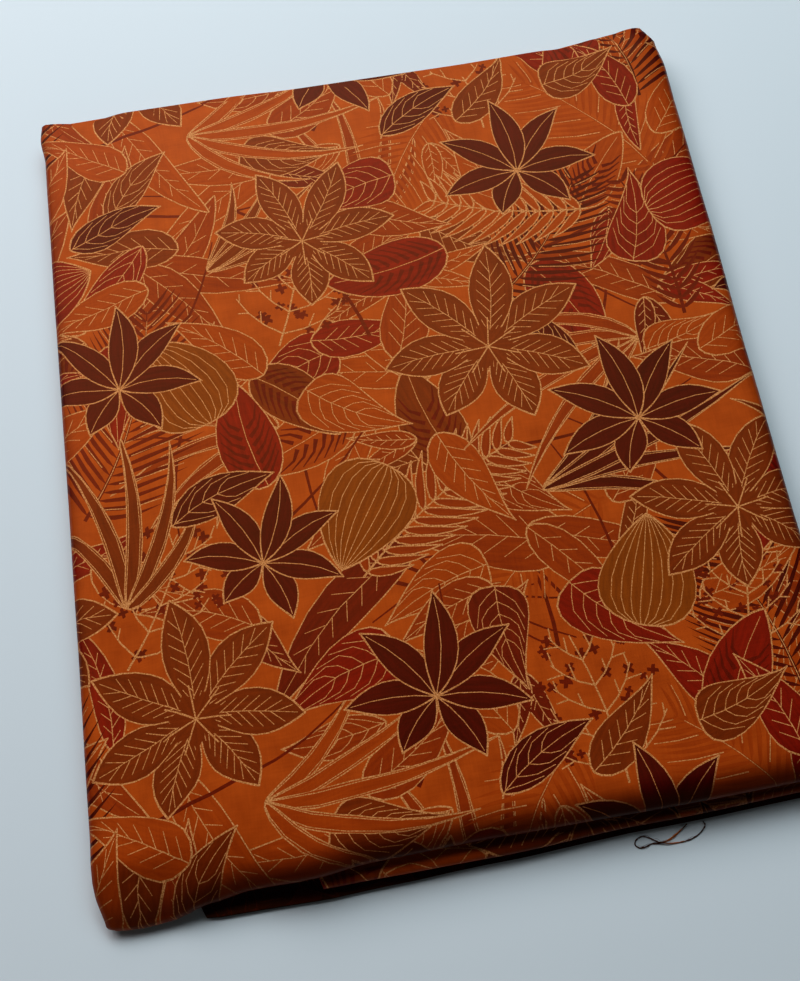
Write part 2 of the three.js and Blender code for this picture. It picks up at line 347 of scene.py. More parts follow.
def drawLeaf(x, y, angle, length, half, bend, form, ink, veins="", count=6, rim="gold", stations=11,
             reach=.66, rimWidth=0):
    place, local = midrib(x, y, angle, length, bend), (x, y, angle)
    a, b = leafForms[form]
    edge = (rimWidth or silkPrint["rim"]) / 2
    vein, thin = silkPrint["vein"], silkPrint["fine"]

    def width(share):
        share, peak = np.clip(share, 1e-4, 1 - 1e-4), a / (a + b)
        return half * share ** a * (1 - share) ** b / (peak ** a * (1 - peak) ** b)

    share = (1 - np.cos(np.linspace(0, math.pi, stations))) / 2
    sideways = width(share)
    if rim:
        outer = lerp(-edge, length + edge, share) / length
        inner = lerp(1.6 * edge, length - 2 * edge, share) / length
        put(rim, np.vstack([place(outer, sideways + edge), place(outer, -sideways - edge)[::-1]]), local)
        less = np.maximum(sideways - edge, .03)
        put(ink, np.vstack([place(inner, less), place(inner, -less)[::-1]]), local)
    else:
        put(ink, np.vstack([place(share, sideways), place(share, -sideways)[::-1]]), local)
    if veins in ("middle", "herring", "curved", "brush"):
        drawLine("gold", place(np.linspace(0, .93, 5), np.zeros(5)), vein, thin, local)
    for k in range(count if veins in ("herring", "curved", "brush") else 0):
        for way in (-1, 1):
            if veins == "herring":
                start = lerp(.1, .8, (k + .25 * way) / count)
                ends = np.array([start, min(start + 1.05 * reach * half / length, .96)])
                apart = np.array([0, 1]) * way * reach * width(ends)
                drawLine("gold", place(ends, apart), vein * .9, thin, local)
            if veins == "curved":
                ends = np.minimum(lerp(.03, .62, k / count) + np.array([0, .06, .14, .32]), .96)
                apart = np.array([0, .33, .6, .86]) * way * width(ends)
                drawLine("gold", place(ends, apart), vein * .9, thin, local)
            if veins == "brush":
                ends = np.minimum(lerp(.03, .62, k / count) + np.array([.02, .09, .22]), .96)
                apart = np.array([.14, .5, .86]) * way * width(ends)
                drawLine("stroke", place(ends, apart), 1.9, .4, local)
    for k in range(count if veins == "ribs" else 0):
        shares = (1 - np.cos(np.linspace(.2, 2.9, 8))) / 2
        apart = lerp(-.74, .74, k / (count - 1)) * width(shares)
        drawLine("gold", place(shares, apart), vein * .9, thin, local)


# the many-fingered leaves: how far each finger is turned, and its share of the leaf's size
fingers = {"umbrella": ((150, .62), (-140, .74), (98, .88), (-92, .92), (50, .98), (-44, 1.0), (3, 1.06)),
           "palmate": ((152, .78), (-150, .8), (104, .94), (-103, .92), (53, 1.0), (-51, 1.02), (2, 1.08))}


def umbrella(x, y, angle, size, ink):
    for turn, share in fingers["umbrella"]:
        drawLeaf(x, y, angle + turn, size * share, size * .165, math.copysign(.5, turn), "long", ink,
                 "middle", stations=14)


def palmate(x, y, angle, size, ink):
    for turn, share in fingers["palmate"]:
        drawLeaf(x, y, angle + turn, size * share, size * .2, math.copysign(.3, turn), "lobe", ink,
                 "herring", 7, stations=14)
    for turn in range(0, 360, 51):        # the lobes run together round the stalk
        drawLeaf(x, y, angle + turn + 20, size * .24, size * .07, 0, "lobe", ink, "", rim="", stations=6)
    for turn, _ in fingers["palmate"]:
        line = midrib(x, y, angle + turn, size * .3, .05)
        drawLine("gold", line(np.array([0, .5, 1]), np.zeros(3)), .6, .6)


def ribbed(x, y, angle, size, ink):
    drawLeaf(x, y, angle, size, size * .41, .25, "round", ink, "ribs", 8, stations=15)


def heart(x, y, angle, size, ink):
    drawLeaf(x, y, angle, size, size * .27, .45, "heart", ink, "curved", 5, stations=14)


def paddle(x, y, angle, size, ink):
    drawLeaf(x, y, angle, size, size * .25, -.4, "oval", ink, "brush", 7, stations=13)


def spear(x, y, angle, size, ink):
    drawLeaf(x, y, angle, size, size * .2, .4, "spear", ink, "herring", 6, stations=12, reach=.62)


def slender(x, y, angle, size, ink):
    drawLeaf(x, y, angle, size, size * .115, .55, "oval", ink, "herring", 7, stations=12, reach=.62)


def pair(x, y, angle, size, ink):
    for turn, share in ((16, 1.0), (-20, .82)):
        drawLeaf(x, y, angle + turn, size * share, size * .12, .012 * turn, "spear", ink, "herring", 5,
                 reach=.6)


def bent(x, y, angle, size, ink):
    drawLeaf(x, y, angle, size, size * .19, -.5, "twist", ink, "curved", 4, stations=12)


def straps(x, y, angle, size, ink):
    for turn, share, bend in ((36, .78, .7), (-34, .74, -.7), (19, .93, .5), (-17, .9, -.45), (2, 1.05, .2)):
        drawLeaf(x, y, angle + turn, size * share, 3.1, bend, "strap", ink, "ribs", 2)


def blades(x, y, angle, size, ink):
    for turn, share, bend in ((42, .7, .8), (21, .95, .6), (1, 1.0, .5), (-17, .9, .75), (-36, .7, 1.0)):
        drawLeaf(x, y, angle + turn, size * share, 3.2, bend, "strap", ink, "ribs", 2)


def frond(x, y, angle, size, ink):
    # a palm's many thin strokes on a bent stem, some of them with a gold line
    place = midrib(x, y, angle, size, .55)
    count = int(size / 3.7)
    for k in range(count):
        share = (k + .6) / count
        base, reach = place(share), size * .42 * math.sin(math.pi * (.2 + .74 * share)) ** .6
        for way in (-1, 1):
            turn = angle + (share - .5) * 31 + way * (58 - 22 * share)
            drawLeaf(*base, turn, reach, .95, -way * .35, "strap", ink, rim="", stations=6)
            if (k + way) % 3 == 0:
                line = midrib(*base, turn + way * 4, reach * .86, -way * .3)
                drawLine("gold", line(np.array([.16, .55, 1]), np.zeros(3)), .46, .3)
    drawLine(ink, place(np.linspace(0, 1, 8), np.zeros(8)), 1.5, .5, fine=False)
    drawLine("gold", place(np.linspace(.1, .95, 7), np.zeros(7)), .4, .3)


def fern(x, y, angle, size, ink):
    place = midrib(x, y, angle, size, .4)
    count = int(size / 4.4)
    for k in range(count):
        share = (k + .6) / count
        base, reach = place(share), 21 * math.sin(math.pi * (.14 + .8 * share)) ** .7
        for way in (-1, 1):
            turn = angle + (share - .5) * 23 + way * 50
            drawLeaf(*base, turn, reach, 1.15, -way * .5, "strap", ink, rim="", stations=6)
            if (k + way) % 2:
                line = midrib(*base, turn, reach * .8, -way * .45)
                drawLine("gold", line(np.array([.25, .6, 1]), np.full(3, -way * .9)), .4, .25)
    drawLine(ink, place(np.linspace(0, 1, 8), np.zeros(8)), 1.6, .6, fine=False)


def comb(x, y, angle, size, ink):
    place = midrib(x, y, angle, size, -.35)
    count = int(size / 5.6)
    for k in range(count):
        share = (k + .5) / count
        base, reach = place(share), 26 * math.sin(math.pi * (.16 + .78 * share)) ** .6
        for way in (-1, 1):
            drawLeaf(*base, angle - (share - .5) * 20 + way * 46, reach, 1.9, -way * .4, "strap", ink,
                     stations=7, rimWidth=.55)
    drawLine("gold", place(np.linspace(0, 1, 8), np.zeros(8)), .9, .4)


def blossom(x, y, size, angle, ink):
    corners = np.array([k * 90 + d for k in range(4) for d in (0, 34, 62)])
    turns = math.radians(angle) + corners * math.pi / 180
    reach = np.tile([1.0, .86, .42], 4) * size
    put(ink, np.stack([x + reach * np.cos(turns), y + reach * np.sin(turns)], 1), fine=True)


def sprig(x, y, angle, size, ink):
    # forked gold twigs over scattered dark blossoms
    place = midrib(x, y, angle, size, .3)
    luck = np.random.default_rng(int(x * 7 + y))
    centre = place(.58)
    for k in range(40):
        turn, reach = 2 * math.pi * luck.random(), size * .48 * math.sqrt(luck.random())
        blossom(centre[0] + reach * math.cos(turn), centre[1] + reach * math.sin(turn),
                1.8 + 1.1 * luck.random(), 90 * luck.random(), ink)
    for k in range(5):
        base = place(.1 + .18 * k)
        for way in (-1, 1):
            turn, reach = angle + way * (50 - 4 * k + 10 * luck.random()), size * (.46 - .05 * k)
            twig = midrib(*base, turn, reach, -way * .6)
            drawLine("gold", twig(np.linspace(0, 1, 4), np.zeros(4)), .72, .5)
            for j, share in enumerate((.4, .68, .9)):
                forkLength = size * (.07 + .05 * luck.random())
                fork = midrib(*twig(share), turn + (way if j % 2 else -way) * 44, forkLength, 0)
                drawLine("gold", fork(np.array([0, 1.0]), np.zeros(2)), .64, .5)
    drawLine("gold", place(np.linspace(0, 1, 5), np.zeros(5)), .85, .55)


def stem(x, y, angle, size, ink):
    place = midrib(x, y, angle, size, .6)
    drawLine(ink, place(np.linspace(0, 1, 8), np.zeros(8)), 1.7, .6, fine=False)


drawings = {"umbrella": umbrella, "palmate": palmate, "ribbed": ribbed, "heart": heart, "paddle": paddle,
            "spear": spear, "slender": slender, "pair": pair, "frond": frond, "bent": bent, "straps": straps,
            "blades": blades, "fern": fern, "comb": comb, "sprig": sprig, "stem": stem}
# kind, x, y, angle, size, ink, from the back of the drawing to its front
chart = [
    ("stem", 20, 30, 20, 90, "stem"), ("stem", 120, 20, 75, 80, "stem"),
    ("stem", 210, 60, 100, 90, "stem"), ("stem", 60, 120, 40, 90, "stem"),
    ("stem", 170, 150, 10, 90, "stem"), ("stem", 250, 100, 130, 80, "stem"),
    ("stem", 30, 200, 60, 80, "stem"), ("stem", 130, 210, 120, 70, "stem"),
    ("stem", 210, 240, 30, 90, "stem"),
    ("frond", 268, 10, 105, 98, "maroon"), ("frond", 6, 150, 70, 96, "stem"),
    ("frond", 180, 214, 50, 78, "maroon"),
    ("fern", 262, 196, 100, 74, "stem"),
    ("comb", 112, 104, 35, 84, "rust"), ("comb", 232, 256, 165, 70, "orange"),
    ("spear", 35, 12, 150, 48, "orange"), ("spear", 100, 22, 35, 50, "rust"),
    ("spear", 158, 34, 130, 50, "orange"), ("spear", 238, 72, 20, 48, "orange"),
    ("spear", 70, 92, 160, 50, "rust"), ("spear", 8, 132, 330, 48, "orange"),
    ("spear", 150, 160, 300, 50, "orange"), ("spear", 214, 118, 60, 48, "rust"),
    ("spear", 84, 200, 140, 50, "orange"), ("spear", 264, 178, 30, 50, "orange"),
    ("spear", 140, 196, 80, 52, "rust"), ("spear", 40, 250, 200, 48, "orange"),
    ("spear", 196, 262, 110, 52, "orange"), ("spear", 128, 276, 340, 48, "rust"),
    ("spear", 270, 288, 60, 50, "orange"),
    ("sprig", 196, 8, 100, 60, "stem"), ("sprig", 92, 212, 75, 60, "stem"),
    ("sprig", 18, 88, 60, 56, "stem"), ("sprig", 250, 46, 80, 54, "stem"),
    ("blades", 64, 26, 4, 90, "orange"), ("blades", 240, 190, 205, 90, "rust"),
    ("blades", 20, 112, 88, 78, "brown"),
    ("straps", 188, 128, 18, 98, "maroon"), ("straps", 66, 254, 35, 60, "brown"),
    ("heart", 120, 72, 200, 50, "red"), ("heart", 190, 88, 320, 50, "red"),
    ("heart", 30, 226, 260, 48, "red"), ("heart", 246, 226, 80, 48, "red"),
    ("heart", 152, 290, 200, 48, "red"),
    ("paddle", 80, 150, 100, 50, "red"), ("paddle", 236, 20, 60, 50, "red"),
    ("paddle", 168, 248, 190, 54, "red"), ("paddle", 276, 130, 250, 50, "red"),
    ("heart", 100, 190, 330, 48, "orange"),
    ("spear", 184, 14, 48, 44, "brown"), ("spear", 262, 6, 112, 46, "red"),
    ("heart", 226, 26, 20, 40, "brown"),
    ("bent", 150, 12, 30, 44, "maroon"), ("bent", 40, 140, 20, 46, "maroon"),
    ("bent", 214, 180, 120, 44, "maroon"), ("bent", 8, 276, 20, 44, "maroon"),
    ("ribbed", 128, 150, 240, 48, "ochre"), ("ribbed", 214, 66, 75, 46, "ochre"),
    ("ribbed", 60, 182, 120, 48, "ochre"), ("ribbed", 258, 250, 20, 46, "red"),
    ("palmate", 42, 62, 95, 45, "brown"), ("palmate", 178, 196, 80, 47, "brown"),
    ("palmate", 262, 106, 110, 43, "brown"), ("palmate", 108, 262, 60, 41, "brown"),
    ("umbrella", 132, 52, 80, 40, "maroon"), ("umbrella", 232, 152, 100, 40, "maroon"),
    ("umbrella", 74, 118, 70, 36, "maroon"), ("umbrella", 24, 206, 85, 38, "maroon"),
    ("umbrella", 206, 282, 95, 39, "maroon"),
]

# what fills the ground: kinds, how many, least size, what chance may add, inks, how much room one takes
fillers = [
    ("stem", 20, 54, 40, "stem", .1),
    ("frond slender pair blades slender spear pair", 17, 62, 24, "orange rust orange stem rust", .2),
    ("spear bent pair heart spear slender paddle", 46, 34, 18, "orange brown rust red stem", .2)]


def filled():
    # stems and small leaves wherever the chart leaves the ground most open
    luck = np.random.default_rng(silkPrint["seed"])
    tile = np.array(silkPrint["tile"])
    taken, rows = [], []

    def take(kind, x, y, angle, size, room):
        shares = (0,) if kind in ("umbrella", "palmate") else (.15, .4, .65, .9)
        taken.extend((*midrib(x, y, angle, size, 0)(share), room) for share in shares)

    rooms = {"umbrella": .78, "palmate": .78, "sprig": .36}
    for kind, x, y, angle, size, ink in chart:
        if kind != "stem":
            take(kind, x, y, angle, size, size * rooms.get(kind, .2))
    for kinds, count, least, more, someInks, room in fillers:
        kinds, someInks = kinds.split(), someInks.split()
        for k in range(count):
            spots = luck.random((240, 2)) * tile
            known = np.array(taken)
            gap = np.abs(spots[:, None] - known[None, :, :2])
            gap = np.minimum(gap, tile - gap)
            spot = spots[(np.linalg.norm(gap, axis=2) - known[:, 2]).min(1).argmax()]
            angle, size = 360 * luck.random(), least + more * luck.random()
            base = midrib(*spot, angle + 180, size / 2, 0)(1.0)
            kind, ink = kinds[k % len(kinds)], someInks[int(luck.integers(len(someInks)))]
            rows.append((kind, *base, angle, size, ink))
            if kinds[0] != "stem":
                take(kind, *base, angle, size, size * room)
    return rows


def drawTile():
    # the fillers first, behind the chart's leaves; all of their strokes count as fine ones
    strokes.clear()
    for row in filled():
        drawings[row[0]](*row[1:])
    strokes[:] = [(ink, outline, local, True) for ink, outline, local, fine in strokes]
    for row in chart:
        drawings[row[0]](*row[1:])
    return strokes


# the printed sheet: its flat outline, lines and print are triangulated together, then folded
def spread(start, end, step):
    return np.linspace(start, end, max(2, int(math.ceil((end - start) / step)) + 1))


def keptLines(stops, turnSteps, edges, steps):
    # lines at the folds and near the edges, and the finer places between them
    kept, between = [], []
    for k in range(len(stops) - 1):
        start, end = stops[k], stops[k + 1]
        if k % 2:
            kept.append(np.linspace(start, end, turnSteps))
            continue
        kept += [[start + e for e in edges[k]], [end - e for e in edges[k]]]
        between.append(spread(start + edges[k][-1], end - edges[k][-1], steps[k])[1:-1])
    return np.unique(np.round(np.concatenate(kept), 4)), np.unique(np.round(np.concatenate(between), 4))


topEnd = alongStops[2] + 16         # the top panel, its front fold and a little under it
# parts of the flat cloth whose print is seen: across from, to, along from, to, and how finely
seenParts = [
    (acrossStops[4] - 2, acrossStops[5] + 4, 0, topEnd, True),
    (acrossStops[4], acrossStops[5], alongStops[5] - 14, alongStops[6] + 14, True),
    (acrossStops[4], acrossStops[5], clothLength - 14, clothLength, True),
    (acrossStops[6], acrossStops[7], alongStops[3] - 10, alongStops[4] + 10, False),
    (acrossStops[6], acrossStops[7], alongStops[7] - 10, alongStops[8] + 10, False),
    (acrossStops[6], acrossStops[7], alongStops[8], clothLength, False),
    (acrossStops[5] - 7, acrossStops[6] + 7, 0, clothLength, False),
    (acrossStops[3] - 1, acrossStops[4] + 7, 0, clothLength, False),
    (acrossStops[7] - 7, acrossStops[7], 0, clothLength, False)]


def isSeen(u0, u1, v0, v1, fine):
    # fine strokes are left out where the print is seen less finely
    parts = seenParts
    return any(u1 > a and u0 < b and v1 > c and v0 < d and (full or not fine) for a, b, c, d, full in parts)


def printedOutlines():
    # the repeat laid over the flat cloth, from back to front: ink, outline and the leaf's own place
    width, height = silkPrint["tile"]
    corner = np.array([acrossStops[4], alongStops[1]])
    found = []
    for ink, outline, local, fine in drawTile():
        low, high = outline.min(0), outline.max(0)
        for i in range(-3, 3):
            for j in range(-6, 3):
                shift = np.array([i * width, j * height])
                u0, u1 = corner[0] + low[0] + shift[0], corner[0] + high[0] + shift[0]
                v0, v1 = corner[1] - high[1] - shift[1], corner[1] - low[1] - shift[1]
                isWithin = u1 > 0 and u0 < clothWidth and v1 > 0 and v0 < clothLength
                if isWithin and isSeen(u0, u1, v0, v1, fine):
                    points = np.stack([corner[0] + outline[:, 0] + shift[0],
                                       corner[1] - outline[:, 1] - shift[1]], 1)
                    found.append((ink, points, (corner[0] + local[0] + shift[0],
                                                corner[1] - local[1] - shift[1], -math.radians(local[2]))))
    return found


inks = ["ground", "stem", "maroon", "red", "stroke", "brown", "rust", "ochre", "orange", "gold"]
# The baked picture has a main patch for the top, a second one for the underside, and the rest beside them.
# A patch is across from, to, along from, to, then its left, bottom, width and height in the picture.
bakePatches = {
    "top": (acrossStops[4] - .5, acrossStops[6] + 1, 0, topEnd, .004, .004, .644, .796),
    "under": (acrossStops[6] + 1, acrossStops[7], alongStops[8] + 10, clothLength, .026, .838, .62, .156)}
bakeAcross = table("place share", [
    (0, 0), (acrossStops[3] - 2, .05), (acrossStops[4] + 8, .1), (acrossStops[5] - 7, .58),
    (acrossStops[6] + 7, .64), (clothWidth, 1)])
bakeAlong = table("place share", [
    (0, 0), (topEnd, .06), (alongStops[3] - 10, .08), (alongStops[4] + 10, .24), (alongStops[5] - 16, .27),
    (alongStops[6] + 16, .62), (alongStops[7] - 10, .65), (alongStops[8] + 10, .8), (clothLength - 14, .9),
    (clothLength, 1)])


def bakePlaces(flat, triangles):
    # where each triangle's corners lie in the baked picture, which reads the cloth's print and shade
    corners, middles = flat[triangles], flat[triangles].mean(1)
    u, v = corners[..., 0], corners[..., 1]
    places = np.stack([.672 + .324 * np.interp(v, bakeAlong["place"], bakeAlong["share"]),
                       .004 + .99 * np.interp(u, bakeAcross["place"], bakeAcross["share"])], -1)
    for name, (u0, u1, v0, v1, left, bottom, width, height) in bakePatches.items():
        here = ((middles > (u0, v0)) & (middles < (u1, v1))).all(1)
        across, along = (u[here] - u0) / (u1 - u0), (v[here] - v0) / (v1 - v0)
        if name == "top":
            places[here] = np.stack([left + width * across, bottom + height * (1 - along)], -1)
        else:
            places[here] = np.stack([left + width * along, bottom + height * across], -1)
    return places.reshape(-1, 2)


# the lowest panel's hem steps back under the hanging corner at these places across the bundle
hemStep = (24.5, 27, 29.5, 31.5, 33.5, 36, 38.5)


def hemStepLines():
    # lines along each ply that follow the step
    step, near, far = np.array(hemStep), cloth["sideStart"], cloth["bundleWidth"] - cloth["sideStart"]
    us = np.concatenate([acrossStops[0] + step - near, acrossStops[2] + far - step,
                         acrossStops[4] + step - near, acrossStops[6] + far - step])
    return [(u, v) for u in us for v in (alongStops[8], clothLength)]


def triangulate():
    seen, hidden = (0, 1.5, 4, 8, 14), (0, 8)
    us, finerU = keptLines(acrossStops, 5, {0: hidden, 2: hidden, 4: seen, 6: seen},
                           {0: 40, 2: 40, 4: 13, 6: 20})
    ends = (0, 1, 3, 7, 14, 26)
    vs, finerV = keptLines(alongStops, 9, {k: ends for k in range(0, 9, 2)},
                           {0: 13, 2: 26, 4: 400, 6: 400, 8: 400})
    whole = np.array([(0, 0), (clothWidth, 0), (clothWidth, clothLength), (0, clothLength)], float)
    lines = np.array([(u, v) for u in us for v in (0, clothLength)]
                     + [(u, v) for v in vs for u in (0, clothWidth)] + hemStepLines())
    points = [whole, lines]
    for someU, someV in ((us, vs), (us, finerV), (finerU, vs), (finerU, finerV)):
        points.append(np.stack([g.ravel() for g in np.meshgrid(someU, someV)], 1))
    # where the corner hangs down the hidden plies bend with it
    frontV = vs[(vs > alongStops[1] - 30) & (vs < alongStops[2] + 30)]
    hiddenU = np.concatenate([spread(acrossStops[k], acrossStops[k + 1], 7) for k in (0, 2, 6)])
    hiddenU = hiddenU[acrossPlace(hiddenU)[0] < 90]
    points.append(np.stack([g.ravel() for g in np.meshgrid(hiddenU, frontV)], 1))
    points = np.vstack(points)
    outlines = printedOutlines()
    # first the print by itself, to find which outline is on top everywhere
    drawn, edges, total = [whole], [], 4
    for ink, outline, local in outlines:
        drawn.append(np.clip(outline, 0, (clothWidth, clothLength)))
        places = np.arange(len(outline))
        edges.append(np.stack([places, np.roll(places, -1)], 1) + total)
        total += len(places)
    flat, triangles = triangulated(np.vstack(drawn), np.vstack(edges))
    tops = topOutlines(flat, triangles, outlines)
    # then again with only the lines that show: there is none between gold and gold
    isGold = [ink == "gold" for ink, outline, local in outlines] + [False]
    looks = np.where(isGold, len(outlines), np.arange(len(outlines) + 1))[tops]
    looks[tops < 0] = -1
    sides = np.sort(np.vstack([triangles[:, (0, 1)], triangles[:, (1, 2)], triangles[:, (2, 0)]]), axis=1)
    owners = np.tile(looks, 3)
    order = np.lexsort((sides[:, 1], sides[:, 0]))
    sides, owners = sides[order], owners[order]
    same = (sides[1:] == sides[:-1]).all(1)
    shown = straightened(flat, sides[:-1][same & (owners[1:] != owners[:-1])])
    used, index = np.unique(shown, return_inverse=True)
    lineEdges = np.arange(4, 4 + len(lines)).reshape(-1, 2)
    edges = np.vstack([lineEdges, index.reshape(shown.shape) + len(points)])
    flat, triangles = triangulated(np.vstack([points, flat[used]]), edges)
    return flat, triangles, topOutlines(flat, triangles, outlines), outlines


def triangulated(points, edges):
    # the first four points are the cloth's corners
    result = delaunay_2d_cdt([Vector(p) for p in points.tolist()], edges.tolist(), [(0, 1, 2, 3)],
                             1, 1e-4, False)
    return np.array([tuple(p) for p in result[0]]), np.array(result[2])


def topOutlines(flat, triangles, outlines):
    # the frontmost outline round the middle of each triangle, or -1 on the plain ground
    middles = flat[triangles].mean(1)
    order = np.argsort(middles[:, 0])
    xs, ys = middles[order].T
    tops = np.full(len(triangles), -1)
    for k, (ink, outline, local) in enumerate(outlines):
        a, b = outline, np.roll(outline, -1, axis=0)
        i, j = np.searchsorted(xs, (a[:, 0].min(), a[:, 0].max()))
        near = i + np.flatnonzero((ys[i:j] > a[:, 1].min()) & (ys[i:j] < a[:, 1].max()))
        if len(near):
            x, y = xs[near][:, None], ys[near][:, None]
            beside = (b[:, 0] - a[:, 0]) * (y - a[:, 1]) - (x - a[:, 0]) * (b[:, 1] - a[:, 1])
            turns = ((a[:, 1] <= y) & (b[:, 1] > y) & (beside > 0)).sum(1) \
                - ((a[:, 1] > y) & (b[:, 1] <= y) & (beside < 0)).sum(1)
            tops[order[near[turns != 0]]] = k
    return tops


def straightened(flat, edges):
    # joins runs of edges that lie in one straight line
    links = {}
    for a, b in edges.tolist():
        links.setdefault(a, set()).add(b)
        links.setdefault(b, set()).add(a)
    places = flat.tolist()
    for middle in list(links):
        if len(links[middle]) != 2:
            continue
        a, b = links[middle]
        (ax, ay), (mx, my), (bx, by) = places[a], places[middle], places[b]
        length = math.hypot(bx - ax, by - ay)
        isStraight = length > 0 and abs((bx - ax) * (my - ay) - (by - ay) * (mx - ax)) / length < .025
        if isStraight and b not in links[a]:
            for one, other in ((a, b), (b, a)):
                links[one].remove(middle)
                links[one].add(other)
            del links[middle]
    return np.array([(a, b) for a in links for b in links[a] if a < b])


def makeCloth():
    flat, triangles, tops, outlines = triangulate()
    places, normals = onCloth(flat[:, 0], flat[:, 1])
    triangles = triangles[:, ::-1]   # turned over, because the flat cloth runs from back to front
    mesh = bpy.data.meshes.new("silk_cloth")
    mesh.from_pydata((places * mm).tolist(), [], triangles.tolist())
    dyeOf = np.array([inks.index(ink) for ink, outline, local in outlines] + [0])
    mesh.polygons.foreach_set("material_index", dyeOf[tops])
    mesh.polygons.foreach_set("use_smooth", np.ones(len(triangles), bool))
    corners = flat[triangles.ravel()]
    local = np.array([local for ink, outline, local in outlines] + [(0, 0, 0)])[np.repeat(tops, 3)]
    apart = corners - local[:, :2]
    cos, sin = np.cos(local[:, 2]), np.sin(local[:, 2])
    leafPlace = np.stack([apart[:, 0] * cos + apart[:, 1] * sin, apart[:, 1] * cos - apart[:, 0] * sin], 1)
    for name, values in (("flatCloth", corners * mm), ("leafPlace", leafPlace * mm),
                         ("OFBake", bakePlaces(flat, triangles))):
        mesh.uv_layers.new(name=name).data.foreach_set("uv", values.ravel())
    mesh.normals_split_custom_set_from_vertices(normals.tolist())
    # painted shade for the front folds and the top ply's rolled edges, kept on each point for the silk's
    # colour
    shadeShare = mesh.attributes.new("paintedShade", "FLOAT", "POINT")
    shadeShare.data.foreach_set("value", paintedShade(flat[:, 1], places))
    obj = bpy.data.objects.new("silk_cloth", mesh)
    scene.collection.objects.link(obj)
    print("cloth", len(flat), "points", len(triangles), "triangles")
    return obj


silkCloth = makeCloth()
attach(silkCloth, "root")
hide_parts("folded_cloth")

# the dyes: the light and the deep shade that each one wanders between
dyes = {"ground": ("#b85016", "#9e3f0e"), "stem": ("#781c0a", "#5a1006"), "maroon": ("#5c0a08", "#400304"),
        "red": ("#90180a", "#6c0c06"), "stroke": ("#701008", "#540804"), "brown": ("#84320c", "#682408"),
        "rust": ("#9c3a0c", "#82290a"), "ochre": ("#924610", "#76340a"), "orange": ("#ac4610", "#94360a"),
        "gold": ("#dc9a64", "#a2602e")}
# the folded colour is painted shade, multiplied into the dyes in the front folds and on the rolled edges
silk = {"threadWidth": 0.8, "threadRun": 14, "mottle": 38, "cloud": 9, "streakWidth": 1.6, "streakRun": 16,
        "speck": 0.6, "mottleShare": 0.35, "threadShare": 0.3, "contrast": (0.36, 0.64), "grain": 0.35,
        "grainHeight": 0.02, "roughness": 0.42, "sheen": 0.25, "sheenTint": "#ff9c44", "folded": "#5c2a22"}


def silkMaterial(ink):
    # plain woven silk, screen printed: even and softly satin, the dye a little cloudy, the threads just seen
    material, tree, shader = newMaterial("printed woven silk, " + ink)
    flat = addNode(tree, "UVMap", uv_map="flatCloth").outputs["UV"]
    leafPlace = addNode(tree, "UVMap", uv_map="leafPlace").outputs["UV"]

    def noise(place, across, along, detail=2.0):
        # cells of a size given in millimetres
        scale = (1 / (across * mm), 1 / (along * mm), 1)
        scaled = addNode(tree, "Mapping", {"Vector": place, "Scale": scale}).outputs[0]
        return addNode(tree, "TexNoise", {"Vector": scaled, "Scale": 1.0, "Detail": detail}).outputs["Fac"]

    def mixed(a, b, share):
        return addNode(tree, "Mix", {0: share, 2: a, 3: b}).outputs[0]

    clouds = noise(flat, silk["mottle"], silk["mottle"], 3.0)
    # real threads are 0.15 mm apart, which is too fine to see, so they are drawn five times as wide
    weft = noise(flat, silk["threadRun"], silk["threadWidth"])
    warp = noise(flat, silk["threadWidth"], silk["threadRun"])
    threads = mixed(weft, warp, 0.5)
    if ink == "gold":
        body = noise(flat, silk["speck"], silk["speck"])
    elif ink == "ground":
        body = noise(flat, silk["cloud"], silk["cloud"], 4.0)
    else:
        body = noise(leafPlace, silk["streakRun"], silk["streakWidth"], 3.0)
    if ink != "gold":
        body = mixed(mixed(body, clouds, silk["mottleShare"]), threads, silk["threadShare"])
    least, most = silk["contrast"]
    share = addNode(tree, "MapRange", {"Value": body, "From Min": least, "From Max": most}).outputs[0]
    light, deep = dyes[ink]
    tone = addNode(tree, "Mix", {0: share, 6: colour(deep), 7: colour(light)}, data_type="RGBA")
    # painted shade: the dye is multiplied towards the dark folded colour in the front folds and where the
    # top ply rolls over at its front and sides
    shadeShare = addNode(tree, "Attribute", attribute_name="paintedShade").outputs["Fac"]
    folded = addNode(tree, "Mix", {0: shadeShare, 6: tone.outputs[2], 7: colour(silk["folded"])},
                     data_type="RGBA", blend_type="MULTIPLY")
    tree.links.new(folded.outputs[2], shader.inputs["Base Color"])
    bump = addNode(tree, "Bump", {"Height": threads, "Strength": silk["grain"],
                                  "Distance": silk["grainHeight"] * mm})
    tree.links.new(bump.outputs[0], shader.inputs["Normal"])
    shader.inputs["Roughness"].default_value = silk["roughness"]
    shader.inputs["Specular IOR Level"].default_value = silk["sheen"]
    shader.inputs["Specular Tint"].default_value = colour(silk["sheenTint"])
    return material


for ink in inks:
    silkCloth.data.materials.append(silkMaterial(ink))
print("silk dyed")


